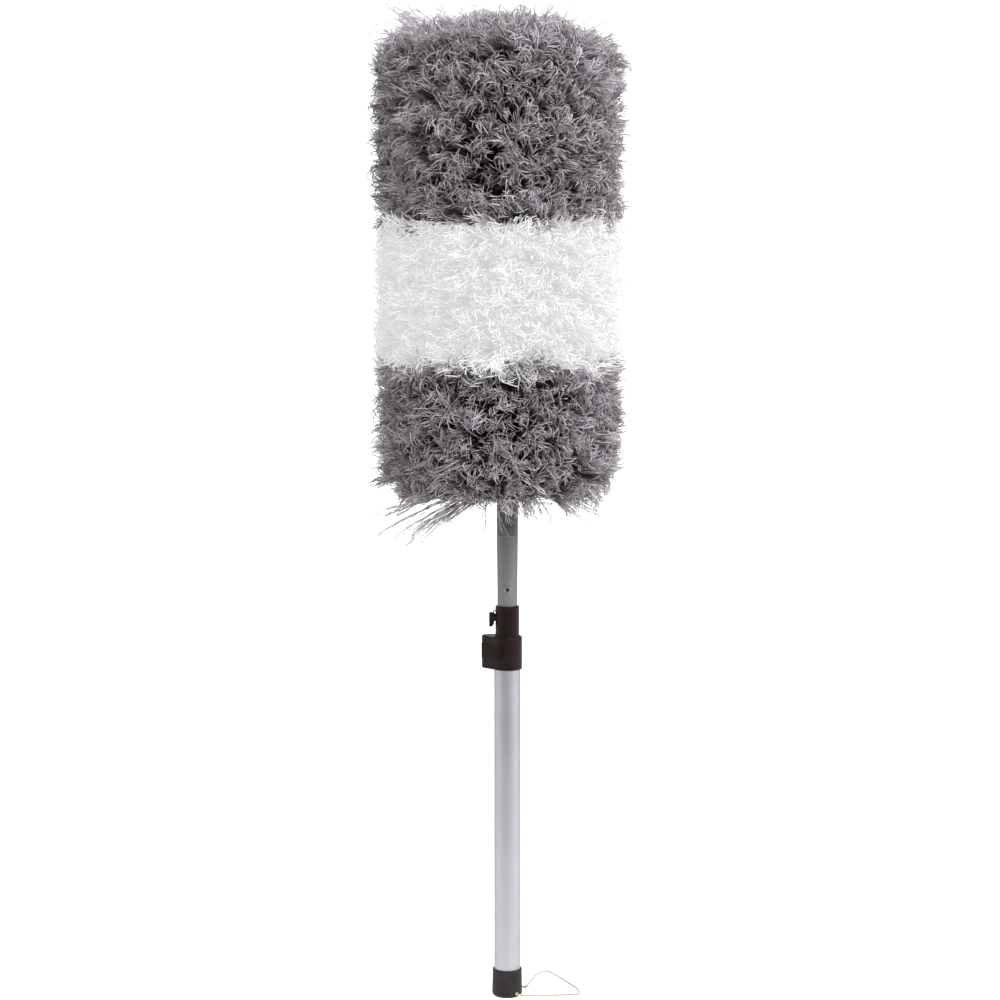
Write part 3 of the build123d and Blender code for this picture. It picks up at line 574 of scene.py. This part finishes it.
def grow(tufts, per_tuft, bend, curl, fan, thickness, arch=0.0, start=0.15):
    """Spines, radii, tints and UV heights of all split fibres, then of all stems.

    tufts holds roots, tips and tints. bend is how far a tuft bows, in mm, and curl how
    far its tips turn, in radians. fan is the spread of its fibres, arch lifts it
    halfway, and start is the UV height of the fibres' first points.
    """
    roots, tips, tints = tufts
    number = len(tips)
    bends = rng.normal(scale=bend, size=(number, 2))
    pick = np.repeat(np.arange(number), per_tuft)
    count = len(pick)
    curve = tuft_curves(roots, tips, bends, arch, STRAND_AT)[pick]
    way = (tips - roots)[pick]
    length = np.linalg.norm(way, axis=1)
    side, over = across_pair(unit(way))
    pair = np.stack([side, over], axis=1)

    part = (STRAND_AT - STRAND_AT[0]) / (1 - STRAND_AT[0])
    stray = np.where(rng.random((count, 1)) < STRAY_SHARE, STRAY_SPREAD, 1.0)
    splay = rng.normal(scale=fan, size=(count, 2)) * stray
    gather = np.interp(part, [0.0, 0.35, 0.75, 1.0], [0.0, 0.9, 1.0, 0.8])
    own_bend = rng.normal(scale=OWN_BEND * bend, size=(count, 2)) * stray
    wave = rng.normal(scale=OWN_WAVE, size=(count, 2))
    wave = wave + rng.normal(scale=SHARED_WAVE, size=(number, 2))[pick]
    turns = rng.uniform(*WAVES, size=(number, 1))[pick]
    phase = rng.uniform(0, 2 * math.pi, size=(count, 1))
    swing = np.sin(2 * math.pi * turns * part[None] + phase)
    offset = (
        splay[:, None] * gather[None, :, None]
        + own_bend[:, None] * (part**2)[None, :, None]
        + wave[:, None] * (swing * part[None])[..., None]
    )

    # The last stretch turns sideways in an arc; a tuft's fibres curl roughly together
    bow = curl * np.abs(rng.normal(1.0, 0.5, size=number))[pick]
    bow = np.maximum(bow * rng.uniform(*CURL_RANGE, size=count), LEAST_CURL)[:, None]
    turn = rng.uniform(0, 2 * math.pi, size=number)[pick]
    turn = turn + rng.normal(scale=CURL_SPREAD, size=count)
    heading = np.stack([np.cos(turn), np.sin(turn)], axis=1)
    run = ((1 - CURL_FROM) * length)[:, None]
    bent = np.clip((STRAND_AT - CURL_FROM) / (1 - CURL_FROM), 0, 1)[None]
    aside = run * (1 - np.cos(bow * bent)) / bow
    offset = offset + heading[:, None] * aside[..., None]
    shortened = run * (np.sin(bow * bent) / bow - bent)

    spines = curve + np.einsum("npk,nkc->npc", offset, pair)
    reach = rng.normal(scale=LENGTH_SPREAD, size=count)
    reach = reach - np.abs(rng.normal(scale=SHORTFALL, size=count))
    along_way = reach[:, None] * length[:, None] * part[None] ** 2 + shortened
    spines = hold_in(spines + unit(way)[:, None] * along_way[..., None])
    profile = np.interp(part, [0.0, 0.5, 0.92, 1.0], [1.0, 1.0, 0.85, 0.0])
    radii = thickness * rng.uniform(*THICKNESS_RANGE, size=(count, 1)) * profile[None]
    own_tints = tints[pick] + rng.normal(scale=TINT_SPREAD, size=count)
    own_tints = np.clip(own_tints, 0, 0.999)
    along = np.repeat((start + (1 - start) * part)[None], count, axis=0)

    stem = hold_in(tuft_curves(roots, tips, bends, arch, STEM_AT))
    stem_radii = np.tile(STEM_RADII, (number, 1))
    stem_along = np.tile(STEM_ALONG, (number, 1))
    stems = (stem, stem_radii, tints * 0.8, stem_along)
    return (spines, radii, own_tints, along), stems


def join(thing, other):
    """Adds other's mesh to thing's."""
    with bpy.context.temp_override(
        active_object=thing, selected_editable_objects=[thing, other]
    ):
        bpy.ops.object.join()


def stand_for(thing, node, body, finish):
    """Gives a new piece its finish and its body, and hides the CAD node whose place it
    takes.
    """
    set_finish(thing, finish)
    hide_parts(node)
    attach(thing, body)


def plume_piece(name, tufts, per_tuft, finish, node, look):
    """One set of plumes as a single piece that stands for its CAD solid."""
    fibres, stems = grow(tufts, per_tuft, **look)
    thing = spines_to_mesh(name, *fibres)
    join(thing, spines_to_mesh(name + "_stems", *stems))
    stand_for(thing, node, "extension", finish)


def knobbly(angle, height, cells, reach, seed):
    """Smooth bumps over the head's surface, for lumps and partings."""
    own = np.random.default_rng(seed)
    total = np.zeros_like(angle)
    for _ in range(cells):
        turns, rise = own.integers(2, 15), own.uniform(-0.11, 0.11)
        total += np.sin(turns * angle + rise * height * 2 + own.uniform(0, 6.28))
    return reach * total / math.sqrt(cells)


def shades_of(mean_and_spread, count):
    mean, spread = mean_and_spread
    return mean + rng.normal(scale=spread, size=count)


def around(reach, angle, height):
    """Points at a reach and an angle from the head's own axis."""
    return np.stack(
        [head_x + reach * np.cos(angle), reach * np.sin(angle), height], axis=1
    )


def on_pole(reach, angle, height):
    """Points at a reach and an angle from the pole's axis."""
    return np.stack([reach * np.cos(angle), reach * np.sin(angle), height], axis=1)


def side_tufts(low, high, root_low, root_high):
    """Tufts that point outwards, with their tips in rows up the side."""
    rows = max(int(round((high - low) / STEP_UP)), 1)
    columns = int(2 * math.pi * head_r / STEP_AROUND)
    row, column = np.meshgrid(np.arange(rows), np.arange(columns), indexing="ij")
    row, column = row.ravel(), column.ravel()
    count = len(row)
    angle = column + 0.5 * (row % 2) + rng.normal(scale=JITTER_AROUND, size=count)
    angle = angle * 2 * math.pi / columns
    part = (row + 0.5 + rng.normal(scale=JITTER_UP, size=count)) / rows
    part = np.clip(part, -0.02, 1.02)
    height = low + part * (high - low)
    reach = head_r + TIP_REACH + rng.normal(scale=TIP_SPREAD, size=count)
    reach += knobbly(angle, height, *LUMPS)
    longer = rng.random(count) < LONG_SHARE
    reach += np.where(longer, rng.uniform(*LONG_BY, size=count), 0)
    shade = shades_of(SIDE_SHADE, count) + knobbly(angle, height, *PATCHES)
    for gap_angle, gap_height, gap_wide, gap_tall, depth in PARTINGS:
        turn = (angle - math.radians(gap_angle) + math.pi) % (2 * math.pi) - math.pi
        across = turn * head_r
        rise = height - gap_height
        near = np.exp(-((across / gap_wide) ** 2) - (rise / gap_tall) ** 2)
        reach -= depth * near
        # Painted shade: plumes at a parting are darker, for the shadow inside it
        shade -= PARTING_PAINTED_SHADE * near
    root_angle = angle + rng.normal(scale=0.05, size=count)
    root_height = root_low + np.clip(part, 0, 1) * (root_high - root_low)
    roots = on_pole(backing_r, root_angle, root_height)
    return roots, around(reach, angle, height), shade


def crown_tufts():
    """Tufts that fan up from the end plate and close the top of the head."""
    rings = []
    for reach in np.arange(5.0, head_r + 1, CROWN_STEP_OUT):
        number = max(int(2 * math.pi * reach / CROWN_STEP_AROUND), 6)
        turn = np.arange(number) * 2 * math.pi / number + rng.uniform(0, 1)
        turn = turn + rng.normal(scale=0.16 / max(reach / 20, 1), size=number)
        rings.append(np.stack([np.full(number, reach), turn], axis=1))
    spread = np.concatenate(rings)
    out = spread[:, 0] + rng.normal(scale=CROWN_SPREAD, size=len(spread))
    turn = spread[:, 1]
    drop = CROWN_DROP * np.clip(out / head_r, 0, 1.05) ** 1.3
    height = band_high["upper"] - drop
    lumps = knobbly(turn, out, *CROWN_LUMPS)
    height += rng.normal(scale=TIP_SPREAD, size=len(out)) + lumps
    root_r = 8.0 + 11.0 * np.clip(out / head_r, 0, 1)
    roots = on_pole(root_r, turn, np.full(len(out), plate_top))
    return roots, around(out, turn, height), shades_of(CROWN_SHADE, len(out))


def taper(tufts, line):
    """Tips below the line sag and draw in to the pole, more so the lower they are."""
    roots, tips, shade = tufts
    under = np.clip((line - tips[:, 2]) / (line - band_low["lower"]), 0, 1.2)
    tips[:, 2] -= TAPER_SAG * under**2 * rng.uniform(0.3, 1.2, size=len(tips))
    pull = 1 - TAPER_PULL * under**2.5
    tips[:, 0] = head_x + (tips[:, 0] - head_x) * pull
    tips[:, 1] *= pull
    return roots, tips, shade


def droop(tufts, line, fall):
    """Half of the tips below the line hang over the band underneath."""
    roots, tips, shade = tufts
    loose = (tips[:, 2] < line) & (rng.random(len(tips)) < 0.5)
    tips[:, 2] -= np.where(loose, rng.uniform(0.1, 1.0, size=len(tips)) * fall, 0)
    return roots, tips, shade


def base_strays():
    """Long loose plumes that hang below the head, most of them at the left."""
    groups = [
        (196, 24, 9, 118, 8, 464, 9),
        (214, 16, 9, 98, 10, 452, 7),
        (330, 20, 7, 96, 12, 476, 6),
        (-90, 60, 12, 26, 10, 470, 8),
        (90, 80, 12, 40, 16, 468, 9),
        (30, 60, 9, 90, 16, 470, 8),
    ]
    return strays(groups, 497.0, 4.0, backing_r)


def crown_strays():
    """Loose plumes that stand off the top edge of the head."""
    peak = band_high["upper"]
    groups = [
        (186, 24, 24, 116, 7, peak - 22, 6),
        (215, 30, 10, 92, 12, peak - 16, 6),
        (-90, 85, 46, 60, 22, peak - 8, 6),
        (330, 30, 14, 98, 12, peak - 26, 6),
        (90, 85, 34, 68, 26, peak - 12, 6),
        (-92, 26, 16, 113, 5, peak - 62, 14),
    ]
    return strays(groups, plate_top - 1.0, 1.5, 15.0)


def strays(groups, root_height, root_spread, root_r):
    """Single long plumes in groups, each told by its count and where its tips lie.

    A group is angle, spread, count, reach, spread, height, spread, in degrees and mm.
    """
    roots, tips = [], []
    for angle, fanned, count, reach, reach_spread, height, height_spread in groups:
        turn = np.radians(angle + rng.uniform(-fanned, fanned, size=count))
        out = reach + rng.normal(scale=reach_spread, size=count)
        up = height + rng.normal(scale=height_spread, size=count)
        tips.append(around(out, turn, up))
        base = root_height + rng.uniform(-root_spread, root_spread, size=count)
        roots.append(on_pole(root_r, turn, base))
    roots, tips = np.concatenate(roots), np.concatenate(tips)
    return roots, tips, shades_of(STRAY_SHADE, len(tips))


grey_finish = plume(
    "plume_grey",
    stops=[
        (0.0, (0.100, 0.076, 0.072)),
        (0.35, (0.270, 0.226, 0.228)),
        (0.65, (0.490, 0.446, 0.466)),
        (1.0, (0.780, 0.752, 0.805)),
    ],
    root_painted_shade=(0.44, 0.36, 0.34),
    tip_shade=(0.77, 0.742, 0.795),
    rough=0.45,
    sheen=0.15,
    fleck=0.66,
)
white_finish = plume(
    "plume_white",
    stops=[
        (0.0, (0.59, 0.59, 0.61)),
        (0.5, (0.62, 0.62, 0.625)),
        (1.0, (0.65, 0.65, 0.645)),
    ],
    root_painted_shade=(0.97, 0.97, 0.97),
    tip_shade=(0.63, 0.63, 0.63),
    rough=0.60,
    sheen=0.0,
    fleck=0.95,
    glow=0.315,
)

# How the plumes grow, for grow()
LOOK = {"bend": 6.0, "curl": 1.7, "fan": 2.3, "thickness": 0.53}
WHITE_LOOK = {"bend": 5.5, "curl": 1.6, "fan": 3.0, "thickness": 0.62}
# Strays start high on the UV, past much of the painted root shade, so they stay pale as
# painted light
BASE_STRAY_LOOK = {
    "bend": 7.0,
    "curl": 0.7,
    "fan": 1.0,
    "thickness": 0.38,
    "arch": 5.0,
    "start": 0.85,
}
CROWN_STRAY_LOOK = {
    "bend": 13.0,
    "curl": 1.4,
    "fan": 1.6,
    "thickness": 0.40,
    "arch": 15.0,
    "start": 0.6,
}

# Each band is sewn from rings of plumes: its lowest and highest tips and roots
RINGS = "abc"
BANDS = {
    "lower": (band_low["lower"] + 2, band_high["lower"] - 1, 496.0, 613.0),
    "middle": (band_low["middle"] - 2, band_high["middle"] - 1, 621.0, 742.0),
    "upper": (band_low["upper"] + 1, shoulder, 750.0, core_top - 5),
}
# Partings where the dark inside shows: angle, height, half width, half height, depth
PARTINGS = [
    (-97, 790, 15, 6, 60),
    (-113, 777, 9, 6, 34),
    (-104, 832, 7, 5, 34),
    (-72, 592, 6, 13, 64),
    (-150, 845, 7, 8, 30),
    (-50, 520, 9, 6, 30),
    (15, 800, 12, 6, 50),
    (60, 560, 8, 10, 50),
    (105, 830, 12, 7, 50),
    (160, 570, 8, 8, 45),
]


def ring_span(low, high, ring):
    """The lowest and highest point of one ring of a band."""
    return [low + (high - low) * k / len(RINGS) for k in (ring, ring + 1)]


for band, (tip_low, tip_high, root_low, root_high) in BANDS.items():
    finish, look = grey_finish, LOOK
    if band == "middle":
        finish, look = white_finish, WHITE_LOOK
    for ring, letter in enumerate(RINGS):
        low, high = ring_span(tip_low, tip_high, ring)
        tufts = side_tufts(low, high, *ring_span(root_low, root_high, ring))
        if band == "lower":
            tufts = taper(tufts, band_low["lower"] + TAPER_HEIGHT)
        if band == "middle" and ring == 0:
            tufts = droop(tufts, low + DROOP_HEIGHT, DROOP_FALL)
        name = f"plume_{band}_{letter}"
        plume_piece(name, tufts, PER_TUFT, finish, f"fringe_{band}", look)


def grey_piece(name, tufts, per_tuft, node, look):
    plume_piece(name, tufts, per_tuft, grey_finish, node, look)


grey_piece("plume_crown", crown_tufts(), PER_CROWN_TUFT, "fringe_upper", LOOK)
grey_piece(
    "plume_strays_base", base_strays(), PER_STRAY, "fringe_lower", BASE_STRAY_LOOK
)
grey_piece(
    "plume_strays_crown", crown_strays(), PER_STRAY, "fringe_upper", CROWN_STRAY_LOOK
)


# Hanging cord: three plies laid round the CAD cord's path

joints = frame["record"]["behaviour"]["joints"]
eye_joint = next(joint for joint in joints if joint["name"] == "hang_cord_swing")
EYE = np.array(eye_joint["pos_m"]) / MM
EYE_WAY = np.array(eye_joint["axis"])
# How far the cord runs out of each end of the cap's cross hole before it bends
EYE_REACH = 12.4
# The knot's place and size, and where its two cut ends point
KNOT_AT = np.array([17.8, 9.6, EYE[2]])
KNOT_SIZE = 0.62
KNOT_ENDS = ((2.6, 3.2, 0.6), (3.6, 1.6, -0.8))
# Distance between points along the cord, the knot and its ends, and points per bend
CORD_STEP = 0.45
KNOT_STEP = 0.3
END_STEP = 0.4
BEND_POINTS = 9
# Sides of each ply, and how far its ends are drawn in
TUBE_SIDES = 6
END_SHARE = 0.4
# Each bend of the loop that lies on the floor: its corner point and its radius
CORD_BENDS = [
    (KNOT_AT, 0.5),
    (EYE + EYE_REACH * EYE_WAY, 2.2),
    (EYE - EYE_REACH * EYE_WAY, 2.2),
    (np.array([20.0, -15.0, 3.6]), 6.0),
    (np.array([42.0, -9.5, 2.2]), 30.0),
    (np.array([71.0, -3.0, 1.4]), 4.0),
    (np.array([69.0, 14.0, 1.4]), 10.0),
    (np.array([53.5, 47.0, 1.8]), 30.0),
    (np.array([40.0, 72.0, 2.4]), 8.0),
    (np.array([29.0, 54.0, 3.2]), 14.0),
    (np.array([20.0, 15.0, 4.6]), 3.0),
    (KNOT_AT, 0.5),
]


def rounded_path(bends, step):
    """Even points along a polyline whose corners are rounded off."""
    corners = [corner for corner, _ in bends]
    points = [corners[0]]
    for before, (corner, radius), after in zip(corners, bends[1:], corners[2:]):
        back, on = unit(before - corner), unit(after - corner)
        half = 0.5 * (math.pi - math.acos(float(np.clip(back @ on, -1, 1))))
        cut = radius * math.tan(half)
        start, end = corner + back * cut, corner + on * cut
        for part in np.linspace(0, 1, BEND_POINTS):
            rest = 1 - part
            points.append(rest**2 * start + 2 * part * rest * corner + part**2 * end)
    points.append(corners[-1])
    return even_points(np.array(points), step)


def run_along(points):
    """Distance along a polyline at each of its points."""
    steps = np.linalg.norm(np.diff(points, axis=0), axis=1)
    return np.concatenate([[0], np.cumsum(steps)])


def even_points(points, step):
    run = run_along(points)
    at = np.linspace(0, run[-1], max(int(run[-1] / step), 8))
    return np.stack([np.interp(at, run, points[:, axis]) for axis in range(3)], axis=1)


def carried_frame(path):
    """Two directions square to a path, carried along it without twisting."""
    way = unit(np.gradient(path, axis=0))
    first = unit(np.cross(way[0], np.array([0.3, 0.2, 1.0])))
    firsts = [first]
    for direction in way[1:]:
        first = unit(first - direction * (first @ direction))
        firsts.append(first)
    firsts = np.array(firsts)
    return firsts, np.cross(way, firsts)


def tube_mesh(name, path, radius, column):
    """Closed round tube along a path, its ends drawn in."""
    rings, sides = len(path), TUBE_SIDES
    firsts, seconds = carried_frame(path)
    size = np.full(rings, radius)
    size[:2] *= [END_SHARE, 1]
    size[-2:] *= [1, END_SHARE]
    size = size[:, None, None]
    turn = (np.arange(sides) * 2 * math.pi / sides)[None, :, None]
    ring = path[:, None] + size * np.cos(turn) * firsts[:, None]
    ring = ring + size * np.sin(turn) * seconds[:, None]
    verts = np.concatenate([ring.reshape(-1, 3), path[:1], path[-1:]])
    faces = []
    for row in range(rings - 1):
        for side in range(sides):
            a, b = row * sides + side, row * sides + (side + 1) % sides
            faces += [(a, b, b + sides), (a, b + sides, a + sides)]
    last, foot, top = (rings - 1) * sides, rings * sides, rings * sides + 1
    for side in range(sides):
        after = (side + 1) % sides
        faces += [(after, side, foot), (last + side, last + after, top)]
    across = 0.2 + 0.6 * np.abs(2 * np.arange(sides) / sides - 1)
    v_ends = [UV_FROM, UV_FROM + UV_SPAN]
    u = np.append(np.tile(across, rings), [0.5, 0.5])
    v = np.append(np.repeat(np.linspace(*v_ends, rings), sides), v_ends)
    uv = np.stack([(column + u) / PLIES, v], axis=1)
    return raw_mesh(name, verts * MM, np.array(faces), uv)


def laid_rope(name, path, offset, radius, pitch):
    """Plies twisted round a path, each at the offset from it."""
    firsts, seconds = carried_frame(path)
    run = run_along(path)
    plies = []
    for ply in range(PLIES):
        turn = (2 * math.pi * (run / pitch + ply / PLIES))[:, None]
        spine = path + offset * (np.cos(turn) * firsts + np.sin(turn) * seconds)
        plies.append(tube_mesh(f"{name}_{ply}", spine, radius, ply))
    for other in plies[1:]:
        join(plies[0], other)
    plies[0].name = name
    return plies[0]


cord_path = rounded_path(CORD_BENDS, CORD_STEP)
cord = laid_rope("cord_twisted", cord_path, offset=0.50, radius=0.54, pitch=4.2)

# Overhand knot: a trefoil of the same cord, with two short cut ends
turn = np.linspace(0, 2 * math.pi, 60)
trefoil = [
    np.sin(turn) + 2 * np.sin(2 * turn),
    np.cos(turn) - 2 * np.cos(2 * turn),
    -1.3 * np.sin(3 * turn),
]
knot_path = even_points(KNOT_AT + KNOT_SIZE * np.stack(trefoil, axis=1), KNOT_STEP)
join(cord, laid_rope("knot", knot_path, offset=0.40, radius=0.42, pitch=3.0))
for way in KNOT_ENDS:
    end_path = even_points(np.array([KNOT_AT, KNOT_AT + np.array(way)]), END_STEP)
    join(cord, laid_rope("end", end_path, offset=0.40, radius=0.40, pitch=3.4))
stand_for(cord, "hang_cord", "loop", twine("twine"))


# Stage, light and camera, in metres

# Half the floor's width, where and how the backdrop bends up, and how high it is
FLOOR_HALF = 30.0
BEND_FROM = 2.5
BEND_R = 2.0
BEND_STEPS = 12
BACKDROP_TOP = 7.0
# The paper's own light: where it is lit, and the extra where the camera sees it
LIT_GLOW = 0.34
SEEN_GLOW = 0.5
# The paper is lit from DARK_Y, near the camera, and fully from FULL_Y
DARK_Y = -1.35
FULL_Y = -0.3
LEAST_LIT = 0.06
# How bright the surround is, and how bright straight behind the camera, and the
# direction's Y where it starts and stops changing
SURROUND = 0.68
DIM = 0.07
DIM_WAY = -0.95
BRIGHT_WAY = -0.30
# Where the key and the side lights point, and their sizes
KEY_AIM = (0, 0, 0.65)
KEY_SIZE = (2.4, 1.5)
SIDE_AIM = (0, 0, 0.7)
SIDE_SIZE = (0.8, 1.0)
COOL_LIGHT = (0.94, 0.97, 1.0)
# Camera, at the photograph's viewing angle
LENS = 81.47
SENSOR = 36.0
CAMERA_AT = (-0.007, -2.150, 0.690)
CAMERA_DOWN = 5.47
LIGHT_BOUNCES = 24


def paper():
    """Pale paper that gives off some light, and darkens towards the camera."""
    n = Nodes("sweep_paper")
    tone = n.noise(n.place(), 3.0, 2.0)
    colour = n.ramp(tone, [(0.3, (0.93, 0.93, 0.93)), (0.7, (0.95, 0.95, 0.95))])
    split = n.node("ShaderNodeSeparateXYZ")
    n.put(split.inputs[0], n.place())
    front = n.span(split.outputs["Y"], DARK_Y, FULL_Y, LEAST_LIT, 1.0)
    seen = n.node("ShaderNodeLightPath").outputs["Is Camera Ray"]
    lit = n.math("MAXIMUM", front, seen)
    shine = n.blend(lit, LIT_GLOW, seen, SEEN_GLOW)
    n.glow(shine)
    colour = n.mix(1.0, colour, n.mix(lit, BLACK, WHITE), "MULTIPLY")
    return n.finish(colour, 0.9, 0.0, 0.1)


def stage_sweep():
    """Pale floor that curves up into a backdrop far behind."""
    profile = [(-FLOOR_HALF, 0.0), (BEND_FROM, 0.0)]
    for step in range(1, BEND_STEPS + 1):
        bend = math.radians(90 * step / BEND_STEPS)
        rise = BEND_R - BEND_R * math.cos(bend)
        profile.append((BEND_FROM + BEND_R * math.sin(bend), rise))
    profile.append((BEND_FROM + BEND_R, BACKDROP_TOP))
    verts = [(x, y, z) for x in (-FLOOR_HALF, FLOOR_HALF) for y, z in profile]
    count = len(profile)
    faces = [(i, count + i, count + i + 1, i + 1) for i in range(count - 1)]
    mesh = bpy.data.meshes.new("sweep")
    mesh.from_pydata(verts, [], faces)
    for face in mesh.polygons:
        face.use_smooth = True
    thing = bpy.data.objects.new("sweep", mesh)
    bpy.context.scene.collection.objects.link(thing)
    set_finish(thing, paper())


def soft_box(name, place, aim, size, power, tone=WHITE):
    lamp = bpy.data.lights.new(name, "AREA")
    lamp.shape = "RECTANGLE"
    lamp.size, lamp.size_y = size
    lamp.energy = power
    lamp.color = tone
    thing = bpy.data.objects.new(name, lamp)
    thing.location = place
    way = Vector(aim) - Vector(place)
    thing.rotation_euler = way.to_track_quat("-Z", "Y").to_euler()
    bpy.context.scene.collection.objects.link(thing)


def studio_world():
    """White surround, dimmer behind the camera, where a studio is unlit."""
    world = bpy.data.worlds.new("studio")
    bpy.context.scene.world = world
    world.use_nodes = True
    tree = world.node_tree
    surround = tree.nodes["Background"]
    seen = tree.nodes.new("ShaderNodeBackground")
    either = tree.nodes.new("ShaderNodeMixShader")
    ray = tree.nodes.new("ShaderNodeLightPath")
    split = tree.nodes.new("ShaderNodeSeparateXYZ")
    coords = tree.nodes.new("ShaderNodeTexCoord")
    facing = tree.nodes.new("ShaderNodeMapRange")
    facing.interpolation_type = "SMOOTHSTEP"
    limits = (DIM_WAY, BRIGHT_WAY, DIM, SURROUND)
    for socket, number in zip(facing.inputs[1:5], limits):
        socket.default_value = number
    surround.inputs[0].default_value = (*WHITE, 1)
    seen.inputs[0].default_value = (*WHITE, 1)
    for output, socket in (
        (coords.outputs["Generated"], split.inputs[0]),
        (split.outputs["Y"], facing.inputs[0]),
        (facing.outputs[0], surround.inputs[1]),
        (ray.outputs["Is Camera Ray"], either.inputs[0]),
        (surround.outputs[0], either.inputs[1]),
        (seen.outputs[0], either.inputs[2]),
        (either.outputs[0], tree.nodes["World Output"].inputs[0]),
    ):
        tree.links.new(output, socket)


stage_sweep()
studio_world()
soft_box("key", (0.9, -1.7, 2.4), KEY_AIM, KEY_SIZE, 82.0)
soft_box("right", (1.9, -0.7, 1.5), SIDE_AIM, SIDE_SIZE, 20.0, COOL_LIGHT)
soft_box("left", (-1.9, -0.8, 1.5), SIDE_AIM, SIDE_SIZE, 11.0)

scene = bpy.context.scene
camera = bpy.data.cameras.new("camera")
camera.lens = LENS
camera.sensor_width = SENSOR
camera_thing = bpy.data.objects.new("camera", camera)
camera_thing.location = CAMERA_AT
camera_thing.rotation_euler = (math.radians(90 - CAMERA_DOWN), 0, 0)
scene.collection.objects.link(camera_thing)
scene.camera = camera_thing
scene.view_settings.view_transform = "Standard"
scene.cycles.max_bounces = LIGHT_BOUNCES
scene.cycles.diffuse_bounces = LIGHT_BOUNCES
